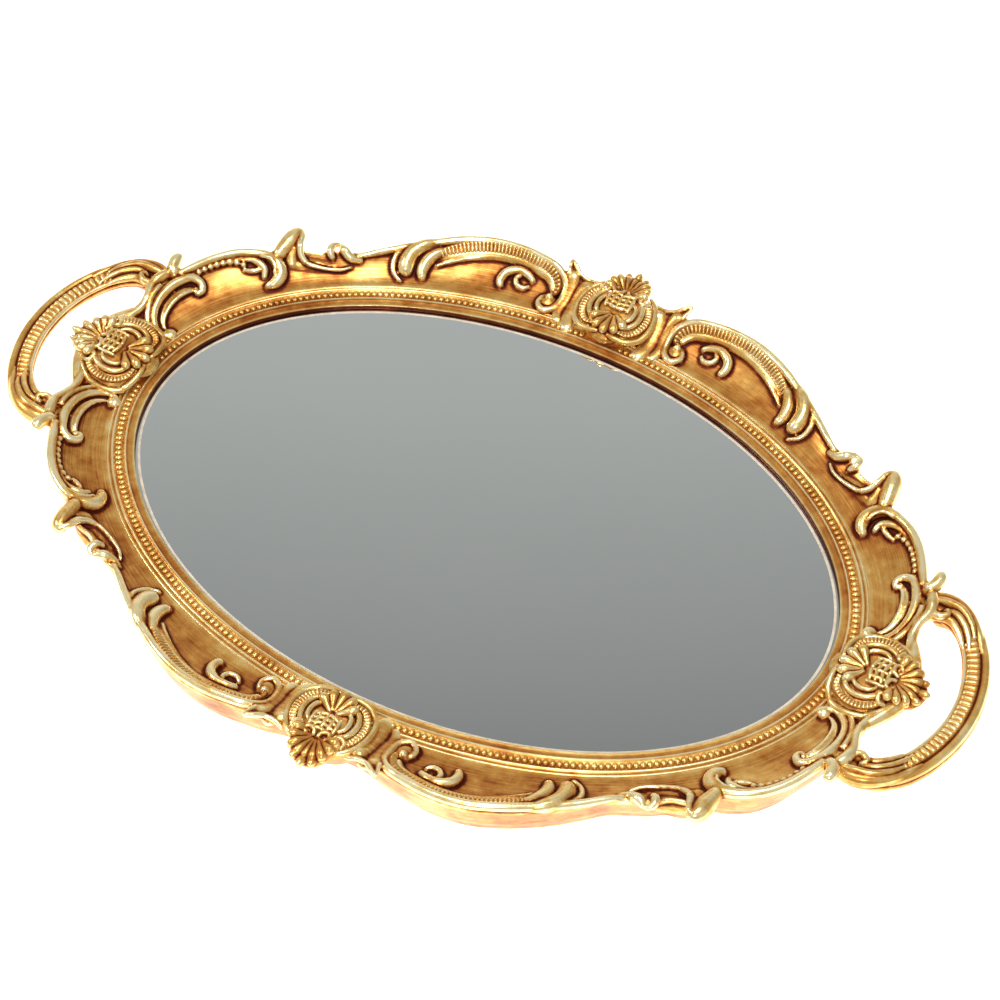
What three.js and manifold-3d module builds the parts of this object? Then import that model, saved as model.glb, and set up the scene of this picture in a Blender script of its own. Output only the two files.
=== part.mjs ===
// An oval vanity tray: a carved-look gold frame around a mirror plate, with two loop handles, four shell
// cartouches, and a backing board, felt and pads underneath.
// Origin: the middle of the tray on the surface it stands on. +X runs out through a handle, +Z is up.
// Lengths are in millimetres and angles in degrees.
import * as THREE from 'three';
import { mergeVertices } from 'three/addons/utils/BufferGeometryUtils.js';
import Module from 'manifold-3d';

// The beaded line is the oval that everything else is set out from.
const BEAD_A = 139;
const BEAD_B = 94;
const BEAD_Z = 15;

// Clearances between pieces that touch.
const GAP = 0.3;

// Frame section, measured outwards from the beaded line.
const SIGHT_INSET = 5.6;
const LIP_UNDERSIDE_Z = 12.3;
const LIP_THICK = 0.9;
const GLASS_REBATE_INSET = 1.6;
const BOARD_REBATE_OUT = 5.5;
const FRAME_BASE_Z = 2;
const FILLET_OUT = 2.8;
const COVE_OUT = 4.2;
const BEAD_RISE = 0.8;
const RIM_UNDERCUT = 5.5;

// Rim of the frame in one quarter: [angle on the oval, width from the beaded line, rise above it].
const RIM = [
  [0, 20.5, 5.0], [4, 20.5, 5.0], [9, 21.3, 5.4], [14, 22.4, 6.0], [18.5, 22.9, 6.3], [22, 23.2, 6.2],
  [26, 24.3, 5.8], [30.5, 24.0, 5.5], [33.6, 21.7, 5.2], [36, 19.5, 5.0], [38.2, 21.7, 5.6], [40.2, 20.6, 5.4],
  [42.3, 17.9, 4.8], [45, 18.2, 4.8], [48, 17.4, 4.6], [51, 17.0, 4.6], [54.6, 19.5, 4.9], [57.5, 21.6, 5.1],
  [61, 23.7, 5.3], [65, 25.8, 5.5], [69.5, 27.2, 5.6], [74.5, 26.0, 5.6], [77.6, 24.0, 5.6], [81.3, 21.8, 5.4],
  [84, 19.2, 4.8], [90, 18.4, 4.5],
];

// Scrolls that lie along the rim in each quarter: [angle, distance out, rise], with the bar's radius.
const SCROLLS = [
  { radius: 2.4, path: [[79.6, 12.3, 1.6], [82, 17, 3.6], [77.6, 21.8, 5.4], [69.3, 24.6, 5.6], [60.8, 20.6, 4.8],
    [54.3, 16, 3.6]] },
  { radius: 2.2, path: [[36.2, 16.8, 3.4], [33.5, 19.2, 4.6], [27.5, 21.6, 5.4], [21.8, 21.2, 6.0],
    [18.6, 20.6, 6.0]] },
];

// Curled tips and bosses in each quarter: [angle, distance out, rise, radius in plan, half height].
const BOSSES = [
  [79.6, 12, 1.2, 4.2, 2.6],
  [81.3, 22.6, 4.4, 2.6, 2.0],
  [47.2, 19.6, 3.6, 3.6, 2.0],
  [40.2, 23.6, 4.6, 4.4, 3.0],
  [58, 10.5, 0.4, 3.8, 2.2],
  [35.8, 12, 0.8, 4.0, 2.4],
  [20.8, 24.2, 5.4, 3.4, 2.6],
];

// Handles: the bar follows half an oval that stands out from the end of the frame.
const HANDLE_CENTRE_OUT = 22;
const HANDLE_REACH = 22.5;
const HANDLE_HALF_SPAN = 35.5;
const HANDLE_WIDTH = 10;
const HANDLE_THICK = 8.4;
const HANDLE_RISE = 4;
const HANDLE_ROOT_LENGTH = 12;
const ROOT_BOSS = { out: 17.5, rise: -1.2, length: 8, width: 6.4, height: 7 };
const TENON_RADIUS = 2;
const TENON_RISE = -3.5;
const TENON_DEPTH = 7;

// Cartouches: half width and reach of the far and near pair, and of the pair at the handles.
const CARTOUCHE_THICK = 5;
const CARTOUCHE_DROP = 2;
const CARTOUCHE_TILT = 8;
const LONG_SIDE_CARTOUCHE = { halfWidth: 15.6, reach: 31 };
const END_CARTOUCHE = { halfWidth: 18.2, reach: 31 };
const CROWN = { out: 14, width: 9.5, length: 8, height: 4, rise: 3.4 };
const PIN_OUT = 13;
const PIN_RADIUS = 2;
const PIN_DEPTH = 3.5;

// Mirror, foam ring, board, felt, screws and pads.
const GLASS_THICK = 2;
const FOAM_THICK = 1;
const FOAM_WIDTH = 10;
const BOARD_THICK = 3;
const FELT_THICK = 1.2;
const FELT_INSET = 2.5;
const SCREW_ANGLES = [22, 66];
const SCREW_HEAD_CLEARANCE = 0.5;
const SCREW_RADIUS = 1.5;
const SCREW_GRIP = 4.2;
const SCREW_HEAD_RADIUS = 3;
const SCREW_HEAD_THICK = 1.8;
const PAD_ANGLE = 30;
const PAD_OUT = 12;
const PAD_RADIUS = 4.5;

const RING_STATIONS = 64;
const PLATE_STATIONS = 72;
const ROUND_SIDES = 12;
const SCROLL_SIDES = 6;
const SCROLL_STEPS = 10;
const HANDLE_SIDES = 10;
const HANDLE_STEPS = 28;
const WELD = 1e-3;

const GOLD = { color: 0xc08a45, roughness: 0.42, metalness: 0.65 };
const MIRROR = { color: 0xb9c2c0, roughness: 0.03, metalness: 1 };
const FOAM = { color: 0x3a3a3c, roughness: 0.95, metalness: 0 };
const BOARD = { color: 0x8a6a48, roughness: 0.85, metalness: 0 };
const FELT = { color: 0x1d1d20, roughness: 1, metalness: 0 };
const STEEL = { color: 0xa8aaac, roughness: 0.35, metalness: 1 };
const RUBBER = { color: 0x26262a, roughness: 0.8, metalness: 0 };

const wasm = await Module();
wasm.setup();

// A geometry with its shared corners joined and its needle-thin faces dropped.
function weld(geometry) {
  const bare = new THREE.BufferGeometry();
  bare.setAttribute('position', geometry.getAttribute('position').clone());
  if (geometry.index) bare.setIndex(geometry.index.clone());
  const welded = mergeVertices(bare, WELD);
  const index = welded.index.array;
  const kept = [];
  for (let i = 0; i < index.length; i += 3) {
    const [a, b, c] = [index[i], index[i + 1], index[i + 2]];
    if (a !== b && b !== c && c !== a) kept.push(a, b, c);
  }
  welded.setIndex(kept);
  return welded;
}

// A closed three.js geometry as a solid that can be joined and cut.
function solid(geometry) {
  const welded = weld(geometry);
  return new wasm.Manifold(new wasm.Mesh({
    numProp: 3,
    vertProperties: new Float32Array(welded.getAttribute('position').array),
    triVerts: new Uint32Array(welded.index.array),
  }));
}

// The largest body of a solid, as a geometry.
function toGeometry(shape) {
  const bodies = shape.decompose().sort((a, b) => b.volume() - a.volume());
  const mesh = bodies[0].getMesh();
  const geometry = new THREE.BufferGeometry();
  geometry.setAttribute('position', new THREE.BufferAttribute(new Float32Array(mesh.vertProperties), 3));
  geometry.setIndex(new THREE.BufferAttribute(new Uint32Array(mesh.triVerts), 1));
  const welded = weld(geometry);
  welded.computeVertexNormals();
  return welded;
}

// A point set out from the beaded line: along its outward normal, and up.
function ovalPoint(degrees, out, rise = 0) {
  const t = THREE.MathUtils.degToRad(degrees);
  const normal = new THREE.Vector2(Math.cos(t) / BEAD_A, Math.sin(t) / BEAD_B).normalize();
  return new THREE.Vector3(
    BEAD_A * Math.cos(t) + normal.x * out,
    BEAD_B * Math.sin(t) + normal.y * out,
    BEAD_Z + rise,
  );
}

// The rim's width or rise at any angle, from the quarter's table.
function rimValue(degrees, column) {
  const folded = Math.abs(((degrees % 180) + 180) % 180);
  const angle = folded > 90 ? 180 - folded : folded;
  const next = Math.max(1, RIM.findIndex((row) => row[0] >= angle));
  const [low, high] = [RIM[next - 1], RIM[next]];
  return THREE.MathUtils.mapLinear(angle, low[0], high[0], low[column], high[column]);
}

// Heights and places that follow from the pieces stacked under the lip, from the mirror down to the felt.
const glassTop = LIP_UNDERSIDE_Z - GAP;
const glassBottom = glassTop - GLASS_THICK;
const foamTop = glassBottom - GAP;
const foamBottom = foamTop - FOAM_THICK;
const boardLedge = foamBottom;
const boardTop = boardLedge - GAP;
const boardBottom = boardTop - BOARD_THICK;
const feltTop = boardBottom - GAP;
const screwOut = BOARD_REBATE_OUT - SCREW_HEAD_CLEARANCE - SCREW_HEAD_RADIUS;

// The frame's section at one angle as [distance out, height], grown by a clearance on its outside faces. It
// runs from the glass rebate round underneath and back over the top, so that the ring faces outwards.
function frameSection(degrees, grow) {
  const width = rimValue(degrees, 1) + grow;
  const rise = rimValue(degrees, 2) + grow;
  const up = BEAD_Z + grow;
  return [
    [-SIGHT_INSET - grow, LIP_UNDERSIDE_Z - grow],
    [-SIGHT_INSET - grow, LIP_UNDERSIDE_Z + LIP_THICK + grow],
    [-FILLET_OUT, up - 0.3],
    [-1.4, up - 0.3],
    [0, up + BEAD_RISE],
    [1.4, up - 0.3],
    [FILLET_OUT, up + 0.1],
    [COVE_OUT, up - 0.5],
    [width * 0.45, up + 0.04 * rise],
    [width * 0.72, up + 0.38 * rise],
    [width * 0.9, up + 0.82 * rise],
    [width * 0.965, BEAD_Z + rise],
    [width, BEAD_Z + rise - 0.9],
    [width - 1, BEAD_Z + 0.4],
    [width - 0.7 * RIM_UNDERCUT, BEAD_Z - 6.5],
    [width - RIM_UNDERCUT, FRAME_BASE_Z - grow],
    [BOARD_REBATE_OUT, FRAME_BASE_Z - grow],
    [BOARD_REBATE_OUT, boardLedge],
    [-GLASS_REBATE_INSET, boardLedge],
    [-GLASS_REBATE_INSET, LIP_UNDERSIDE_Z - grow],
  ].reverse();
}

// A ring turned on the lathe and then drawn out to the oval, with a section that may change with angle.
function ovalRing(sectionAt, stations) {
  const turned = sectionAt(0).map(([out, z]) => new THREE.Vector2(100 + out, z));
  const ring = new THREE.LatheGeometry([...turned, turned[0]], stations);
  const position = ring.getAttribute('position');
  const rows = turned.length + 1;
  for (let i = 0; i < position.count; i += 1) {
    const degrees = (360 * Math.floor(i / rows)) / stations;
    const [out, z] = sectionAt(degrees)[(i % rows) % turned.length];
    const point = ovalPoint(degrees, out);
    position.setXYZ(i, point.x, point.y, z);
  }
  return ring;
}

// An oval plate parallel to the beaded line, with holes.
function ovalPlate(out, bottom, thickness, holes = []) {
  const outline = [];
  for (let i = 0; i < PLATE_STATIONS; i += 1) {
    const point = ovalPoint((360 * i) / PLATE_STATIONS, out);
    outline.push(new THREE.Vector2(point.x, point.y));
  }
  const shape = new THREE.Shape(outline);
  shape.holes.push(...holes);
  const plate = new THREE.ExtrudeGeometry(shape, { depth: thickness, bevelEnabled: false });
  return plate.translate(0, 0, bottom);
}

function roundHole(centre, radius) {
  const points = [];
  for (let i = 0; i < ROUND_SIDES; i += 1) {
    const angle = (-2 * Math.PI * i) / ROUND_SIDES;
    points.push(new THREE.Vector2(centre.x + radius * Math.cos(angle), centre.y + radius * Math.sin(angle)));
  }
  return new THREE.Path(points);
}

function ovalOpening(out) {
  const points = [];
  for (let i = PLATE_STATIONS; i > 0; i -= 1) {
    const point = ovalPoint((360 * i) / PLATE_STATIONS, out);
    points.push(new THREE.Vector2(point.x, point.y));
  }
  return new THREE.Path(points);
}

// A bar of oval section along a list of points. The section's first size lies level, its second stands up.
function bar(points, level, upright, sides, steps) {
  const section = new THREE.Shape();
  section.absellipse(0, 0, upright / 2, level / 2, 0, 2 * Math.PI, false, 0);
  const outline = section.getSpacedPoints(sides).slice(0, sides);
  const path = new THREE.CatmullRomCurve3(points, false, 'centripetal');
  const lengths = { steps, bevelEnabled: false, extrudePath: path };
  return new THREE.ExtrudeGeometry(new THREE.Shape(outline), lengths);
}

function verticalPeg(x, y, bottom, top, radius) {
  const peg = new THREE.CylinderGeometry(radius, radius, top - bottom, ROUND_SIDES);
  return peg.rotateX(Math.PI / 2).translate(x, y, (bottom + top) / 2);
}

function boss(centre, width, length, height, turn = 0) {
  const ball = new THREE.SphereGeometry(1, 8, 5).rotateX(Math.PI / 2);
  return ball.scale(width, length, height).rotateZ(turn).translate(centre.x, centre.y, centre.z);
}

// The four copies of a quarter's angle.
const quarters = (angle) => [angle, 180 - angle, 180 + angle, 360 - angle];
const screwAngles = SCREW_ANGLES.flatMap(quarters);
const ends = [1, -1];

// Frame: the moulded ring, its rim scrolls and curled tips, less the pilot holes and sockets.
function tenon(end, side, radius, depth) {
  const inner = BEAD_A + HANDLE_CENTRE_OUT - HANDLE_ROOT_LENGTH - depth;
  const outer = BEAD_A + HANDLE_CENTRE_OUT;
  const peg = new THREE.CylinderGeometry(radius, radius, outer - inner, ROUND_SIDES).rotateZ(Math.PI / 2);
  return peg.translate((end * (inner + outer)) / 2, side * HANDLE_HALF_SPAN, BEAD_Z + TENON_RISE);
}

function frameOrnament(grow) {
  const pieces = [];
  const signs = [[1, 1], [-1, 1], [-1, -1], [1, -1]];
  for (const [sx, sy] of signs) {
    const place = ([angle, out, rise]) => ovalPoint(angle, out, rise).multiply(new THREE.Vector3(sx, sy, 1));
    for (const scroll of SCROLLS) {
      const thick = 2 * (scroll.radius + grow);
      pieces.push(bar(scroll.path.map(place), thick, thick, SCROLL_SIDES, SCROLL_STEPS));
    }
    for (const [angle, out, rise, radius, half] of BOSSES) {
      const centre = place([angle, out, rise]);
      pieces.push(boss(centre, radius + grow, radius + grow, half + grow));
    }
  }
  return pieces.map(solid);
}

function frameBody(grow) {
  const ring = solid(ovalRing((degrees) => frameSection(degrees, grow), RING_STATIONS));
  return frameOrnament(grow).reduce((whole, piece) => whole.add(piece), ring);
}

const axisPoints = [[90, LONG_SIDE_CARTOUCHE], [270, LONG_SIDE_CARTOUCHE], [0, END_CARTOUCHE], [180, END_CARTOUCHE]];
const pinBottom = BEAD_Z - PIN_DEPTH;
const pinTop = BEAD_Z + 2;

let frame = frameBody(0);
for (const angle of screwAngles) {
  const hole = ovalPoint(angle, screwOut);
  const top = boardTop + SCREW_GRIP + GAP;
  frame = frame.subtract(solid(verticalPeg(hole.x, hole.y, boardLedge - 2, top, SCREW_RADIUS + GAP)));
}
for (const [angle] of axisPoints) {
  const hole = ovalPoint(angle, PIN_OUT);
  const pin = verticalPeg(hole.x, hole.y, pinBottom - GAP, BEAD_Z + 8, PIN_RADIUS + GAP);
  frame = frame.subtract(solid(pin));
}
for (const end of ends) {
  for (const side of ends) {
    frame = frame.subtract(solid(tenon(end, side, TENON_RADIUS + GAP, TENON_DEPTH + GAP)));
  }
}

// The frame grown by the clearance, which cuts the seats of what is fixed onto it.
const seat = frameBody(GAP);

// Handle: a loop bar with a thickened root at each end and a tenon that enters the frame.
function handleBody(end) {
  const centre = BEAD_A + HANDLE_CENTRE_OUT;
  const points = [];
  for (const side of [-1, 1]) {
    const root = [[-HANDLE_ROOT_LENGTH, 0], [-HANDLE_ROOT_LENGTH / 2, 0]];
    const arc = [90, 68, 46, 23].map((degrees) => {
      const turn = THREE.MathUtils.degToRad(degrees);
      return [HANDLE_REACH * Math.cos(turn), HANDLE_HALF_SPAN * (Math.sin(turn) - 1)];
    });
    const half = [...root, ...arc].map(([x, y]) => (
      new THREE.Vector3(end * (centre + x), side * (HANDLE_HALF_SPAN + y), BEAD_Z + HANDLE_RISE)
    ));
    points.push(...(side < 0 ? half : half.reverse()));
  }
  points.splice(points.length / 2, 0, new THREE.Vector3(end * (centre + HANDLE_REACH), 0, BEAD_Z + HANDLE_RISE));
  let body = solid(bar(points, HANDLE_WIDTH, HANDLE_THICK, HANDLE_SIDES, HANDLE_STEPS));
  for (const side of ends) {
    const x = end * (BEAD_A + ROOT_BOSS.out);
    const middle = new THREE.Vector3(x, side * HANDLE_HALF_SPAN, BEAD_Z + ROOT_BOSS.rise);
    body = body.add(solid(boss(middle, ROOT_BOSS.length, ROOT_BOSS.width, ROOT_BOSS.height)));
  }
  body = body.subtract(seat);
  for (const side of ends) body = body.add(solid(tenon(end, side, TENON_RADIUS, TENON_DEPTH)));
  return body;
}

// Cartouche outline for one half, as shares of its half width and reach, with a scalloped shell at the top.
const CARTOUCHE_OUTLINE = [
  [0, -0.09], [0.34, -0.06], [0.62, 0.05], [0.9, 0.2], [1, 0.37], [0.93, 0.53], [0.76, 0.66], [0.62, 0.72],
  [0.6, 0.82], [0.42, 0.84], [0.38, 0.93], [0.2, 0.91], [0.14, 0.98],
];

function cartoucheBody(angle, size) {
  const across = size.halfWidth;
  const half = CARTOUCHE_OUTLINE.map(([u, v]) => new THREE.Vector2(u * across, v * size.reach));
  const other = half.slice(1).reverse().map((point) => new THREE.Vector2(-point.x, point.y));
  const outline = new THREE.Shape([...half, new THREE.Vector2(0, size.reach), ...other]);
  const bevel = { bevelEnabled: true, bevelThickness: 1.4, bevelSize: 1.2, bevelOffset: -1.2, bevelSegments: 2 };
  const slab = new THREE.ExtrudeGeometry(outline, { depth: CARTOUCHE_THICK - 2.8, ...bevel });
  slab.translate(0, 0, 1.4 - CARTOUCHE_DROP).rotateX(THREE.MathUtils.degToRad(CARTOUCHE_TILT));
  const crown = boss(new THREE.Vector3(0, CROWN.out, CROWN.rise), CROWN.width, CROWN.length, CROWN.height);
  const turn = THREE.MathUtils.degToRad(angle - 90);
  const foot = ovalPoint(angle, 0);
  const pin = ovalPoint(angle, PIN_OUT);
  const placed = [slab, crown].map((shape) => solid(shape.rotateZ(turn).translate(foot.x, foot.y, BEAD_Z)));
  const body = placed[0].add(placed[1]).subtract(seat);
  return body.add(solid(verticalPeg(pin.x, pin.y, pinBottom, pinTop, PIN_RADIUS)));
}

// Screw: a pan head below the board, with its shank up through the board into the frame.
function screwBody(angle) {
  const place = ovalPoint(angle, screwOut);
  const headTop = boardBottom - GAP;
  const tip = boardTop + SCREW_GRIP;
  const profile = [
    [0, headTop - SCREW_HEAD_THICK], [0.7 * SCREW_HEAD_RADIUS, headTop - SCREW_HEAD_THICK],
    [SCREW_HEAD_RADIUS, headTop - 0.5 * SCREW_HEAD_THICK], [SCREW_HEAD_RADIUS, headTop],
    [SCREW_RADIUS, headTop], [SCREW_RADIUS, tip - SCREW_RADIUS], [0, tip],
  ].map(([radius, z]) => new THREE.Vector2(radius, z));
  return new THREE.LatheGeometry(profile, ROUND_SIDES).rotateX(Math.PI / 2).translate(place.x, place.y, 0);
}

function padBody(angle) {
  const place = ovalPoint(angle, PAD_OUT);
  return verticalPeg(place.x, place.y, 0, FRAME_BASE_Z - GAP, PAD_RADIUS);
}

const tray = new THREE.Group();

function add(name, shape, finish) {
  const mesh = new THREE.Mesh(toGeometry(shape), new THREE.MeshStandardMaterial(finish));
  mesh.name = name;
  tray.add(mesh);
}

add('frame_moulding', frame, GOLD);
add('handle_right', handleBody(1), GOLD);
add('handle_left', handleBody(-1), GOLD);
const cartoucheNames = ['cartouche_far', 'cartouche_near', 'cartouche_right', 'cartouche_left'];
axisPoints.forEach(([angle, size], i) => add(cartoucheNames[i], cartoucheBody(angle, size), GOLD));
add('mirror_glass', solid(ovalPlate(-GLASS_REBATE_INSET - GAP, glassBottom, GLASS_THICK)), MIRROR);
const foamOut = -GLASS_REBATE_INSET - GAP;
const foamOpening = [ovalOpening(foamOut - FOAM_WIDTH)];
add('foam_ring', solid(ovalPlate(foamOut, foamBottom, FOAM_THICK, foamOpening)), FOAM);
const boardHoles = screwAngles.map((angle) => roundHole(ovalPoint(angle, screwOut), SCREW_RADIUS + GAP));
add('backing_board', solid(ovalPlate(BOARD_REBATE_OUT - GAP, boardBottom, BOARD_THICK, boardHoles)), BOARD);
add('felt_lining', solid(ovalPlate(-FELT_INSET, feltTop - FELT_THICK, FELT_THICK)), FELT);
screwAngles.forEach((angle, i) => add(`board_screw_${i + 1}`, solid(screwBody(angle)), STEEL));
quarters(PAD_ANGLE).forEach((angle, i) => add(`foot_pad_${i + 1}`, solid(padBody(angle)), RUBBER));

export default tray;
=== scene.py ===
"""An oval vanity tray: a gilded cast frame around a mirror, with loop handles and shell cartouches.

The ornament is drawn on a grid in which the beaded oval's half length is 125 and its half width about 84.5,
and repeats in each quarter of the tray. Heights on the grid are counted from the beaded line.
"""
import math
from contextlib import contextmanager

import bpy
import numpy as np
from mathutils import Matrix, Vector


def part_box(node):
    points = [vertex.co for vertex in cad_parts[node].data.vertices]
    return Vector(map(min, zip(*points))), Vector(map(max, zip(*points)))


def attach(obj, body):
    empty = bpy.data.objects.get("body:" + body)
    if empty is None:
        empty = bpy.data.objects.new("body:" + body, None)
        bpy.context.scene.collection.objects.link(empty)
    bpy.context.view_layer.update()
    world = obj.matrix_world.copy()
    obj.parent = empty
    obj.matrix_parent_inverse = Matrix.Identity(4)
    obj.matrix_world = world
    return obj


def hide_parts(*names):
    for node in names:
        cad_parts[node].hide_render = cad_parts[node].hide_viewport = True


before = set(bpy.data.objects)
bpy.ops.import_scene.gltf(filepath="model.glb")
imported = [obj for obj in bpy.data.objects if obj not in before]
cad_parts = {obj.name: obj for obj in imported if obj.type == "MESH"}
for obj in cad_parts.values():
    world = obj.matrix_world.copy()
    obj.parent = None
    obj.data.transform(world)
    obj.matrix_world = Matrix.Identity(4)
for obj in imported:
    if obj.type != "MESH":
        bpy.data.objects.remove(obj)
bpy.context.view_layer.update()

scene = bpy.context.scene
scene.view_settings.view_transform = "Standard"

# ---- sizes, from the frame

GLASS_INSET = 0.0019  # the mirror's edge lies this far inside the beaded line
BEADS_OVER_GLASS = 0.003
JOINT_GAP = 0.0003
OVAL_A = 125.0

_, glass_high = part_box("mirror_glass")
_, board_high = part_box("backing_board")
frame_low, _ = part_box("frame_moulding")

bead_a = glass_high.x + GLASS_INSET
bead_b = glass_high.y + GLASS_INSET
bead_z = glass_high.z + BEADS_OVER_GLASS
UNIT = bead_a / OVAL_A  # metres in one square of the ornament's grid
OVAL_B = bead_b / UNIT


def drawn(height):
    """A height above the table in metres, as grid squares above the beaded line."""
    return (height - bead_z) / UNIT


# Heights on the grid, and distances out from the beaded line.
BASE = drawn(frame_low.z)
LEDGE = drawn(board_high.z + JOINT_GAP)
GLASS_TOP = drawn(glass_high.z)
LIP_UNDER = GLASS_TOP + 0.27
SIGHT_OUT = -5.04
GLASS_REBATE_OUT = -1.44
BOARD_REBATE_OUT = 4.95

# ---- camera

camera_data = bpy.data.cameras.new("camera")
camera_data.lens = 104.95
camera_data.sensor_width = 36.0
camera_data.clip_start = 0.01
camera = bpy.data.objects.new("camera", camera_data)
camera.location = (0.2995, -0.5689, bead_z + 0.8048)
camera.rotation_euler = [math.radians(angle) for angle in (38.896, -0.924, 28.314)]
scene.collection.objects.link(camera)
scene.camera = camera


# ---- the oval

def oval(degrees, out=0.0):
    """Points at angles on the beaded oval, set out along its normal."""
    turn = np.radians(degrees)
    normal = np.stack([np.cos(turn) / OVAL_A, np.sin(turn) / OVAL_B], -1)
    normal /= np.linalg.norm(normal, axis=-1, keepdims=True)
    line = np.stack([OVAL_A * np.cos(turn), OVAL_B * np.sin(turn)], -1)
    return line + normal * np.asarray(out)[..., None]


OVAL_ANGLES = np.linspace(-12, 102, 2281)
OVAL_LINE = oval(OVAL_ANGLES)
OVAL_LENGTHS = np.concatenate([[0], np.cumsum(np.linalg.norm(np.diff(OVAL_LINE, axis=0), axis=1))])


def on_oval(points):
    """The oval angle and the distance out of points on the plan, in the first quarter."""
    points = np.atleast_2d(points)
    angle = np.empty(len(points))
    for start in range(0, len(points), 4000):
        part = points[start:start + 4000]
        gap = ((part[:, None, :] - OVAL_LINE[None, :, :]) ** 2).sum(-1)
        angle[start:start + 4000] = OVAL_ANGLES[gap.argmin(1)]
    foot = oval(angle)
    outwards = oval(angle, np.ones(len(points))) - foot
    return angle, ((points - foot) * outwards).sum(-1)


# The rim in one quarter: angle on the oval, width from the beaded line, height above it.
RIM = np.array([
    (0, 18.4, 4.3), (4, 18.5, 4.3), (9, 19.2, 4.7), (14, 20.1, 5.2), (18.5, 20.6, 5.4), (22, 20.9, 5.3),
    (26, 21.8, 5.1), (30.5, 21.5, 4.9), (33.6, 19.6, 4.6), (36, 17.8, 4.4), (38.2, 18.8, 4.6),
    (40.2, 18.2, 4.5), (42.3, 16.4, 4.2), (45, 16.2, 4.2), (48, 15.6, 4.1), (51, 15.4, 4.1),
    (54.6, 17.5, 4.3), (57.5, 19.4, 4.5), (61, 21.3, 4.7), (65, 23.2, 4.9), (69.5, 24.4, 5.0),
    (74.5, 23.4, 5.0), (77.6, 21.6, 5.0), (81.3, 19.4, 4.8), (84, 17.3, 4.3), (90, 16.6, 4.0),
])


def hermite(keys, values, slopes, at):
    """A smooth curve that passes each key with its value and slope."""
    i = np.clip(np.searchsorted(keys, at) - 1, 0, len(keys) - 2)
    span = keys[i + 1] - keys[i]
    t = (at - keys[i]) / span
    if values.ndim > 1:
        span, t = span[:, None], t[:, None]
    return (
        values[i] * (1 + 2 * t) * (1 - t) ** 2 + slopes[i] * span * t * (1 - t) ** 2
        + values[i + 1] * t * t * (3 - 2 * t) + slopes[i + 1] * span * t * t * (t - 1)
    )


def rim(angle):
    """Width and height of the rim at oval angles, mirrored past the ends of the quarter, with level ends."""
    folded = np.abs(angle)
    folded = np.where(folded > 90, 180 - folded, folded)
    keys, *columns = RIM.T
    found = []
    for values in columns:
        slopes = np.gradient(values, keys)
        slopes[0] = slopes[-1] = 0
        found.append(hermite(keys, values, slopes, folded))
    return found


COVE_START = 3.8
COVE_END = 0.95  # as a share of the rim's width
COVE_FLOOR = -0.55


def cove(share, height):
    """Height of the plain cove at a share of its width, under a rim of some height."""
    return COVE_FLOOR + (height - COVE_FLOOR) * share ** 1.9


def ground(points):
    """Height of the plain cove under points on the plan."""
    angle, out = on_oval(points)
    width, height = rim(angle)
    share = np.clip((out - COVE_START) / (width * COVE_END - COVE_START), 0, 1)
    return cove(share, height)


# ---- mesh helpers


def activate(thing):
    for other in bpy.context.selected_objects:
        other.select_set(False)
    thing.select_set(True)
    bpy.context.view_layer.objects.active = thing


@contextmanager
def editing(piece):
    """Edit mode on one piece, with all of it selected."""
    activate(piece)
    bpy.ops.object.mode_set(mode="EDIT")
    bpy.ops.mesh.select_all(action="SELECT")
    yield
    bpy.ops.object.mode_set(mode="OBJECT")


def extrude(rise, widening=1.0):
    """Draws the selection upwards, then outwards from the middle of the tray."""
    bpy.ops.mesh.extrude_region_move(TRANSFORM_OT_translate={"value": (0, 0, rise)})
    if widening != 1.0:
        bpy.ops.transform.resize(value=(widening, widening, 1), center_override=(0, 0, 0))


def face_outwards():
    bpy.ops.mesh.select_all(action="SELECT")
    bpy.ops.mesh.normals_make_consistent(inside=False)


def circle(name, stations, radius=1.0, fill="NGON"):
    """A flat circle of corners about the middle of the tray."""
    bpy.ops.mesh.primitive_circle_add(vertices=stations, radius=radius, fill_type=fill, location=(0, 0, 0))
    piece = bpy.context.object
    piece.name = piece.data.name = name
    return piece


def new_piece(name, corners, faces):
    """A mesh object from corners on the grid, with its place in its mesh."""
    mesh = bpy.data.meshes.new(name)
    mesh.from_pydata([tuple(c) for c in corners * UNIT + (0, 0, bead_z)], [], faces)
    mesh.update()
    piece = bpy.data.objects.new(name, mesh)
    scene.collection.objects.link(piece)
    return piece


def apply_modifier(piece, kind, **settings):
    activate(piece)
    modifier = piece.modifiers.new(kind.lower(), kind)
    for key, value in settings.items():
        setattr(modifier, key, value)
    bpy.ops.object.modifier_apply(modifier=modifier.name)


def corners_of(mesh):
    corners = np.empty(len(mesh.vertices) * 3)
    mesh.vertices.foreach_get("co", corners)
    return corners.reshape(-1, 3)


def set_corners(mesh, corners):
    mesh.vertices.foreach_set("co", corners.ravel())
    mesh.update()


def store(mesh, name, values):
    """A number for each corner of the mesh, which a material can read."""
    layer = mesh.attributes.get(name) or mesh.attributes.new(name, "FLOAT", "POINT")
    layer.data.foreach_set("value", np.asarray(values, np.float32))


def smooth(piece, degrees=None):
    activate(piece)
    if degrees is None:
        bpy.ops.object.shade_smooth()
    else:
        bpy.ops.object.shade_smooth_by_angle(angle=math.radians(degrees))


def copy_of(piece, name, matrix):
    """A copy of a piece, moved by a matrix that may mirror it."""
    mesh = piece.data.copy()
    mesh.transform(matrix)
    if matrix.determinant() < 0:
        mesh.flip_normals()
    mesh.name = name
    copy = bpy.data.objects.new(name, mesh)
    scene.collection.objects.link(copy)
    return copy


def quarters_of(piece, stem):
    """A piece of the first quarter, with its mirror images in the other three."""
    signs = enumerate(((-1, 1), (-1, -1), (1, -1)), 2)
    return [piece, *(copy_of(piece, f"{stem}_{i}", Matrix.Diagonal((x, y, 1, 1))) for i, (x, y) in signs)]


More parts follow.
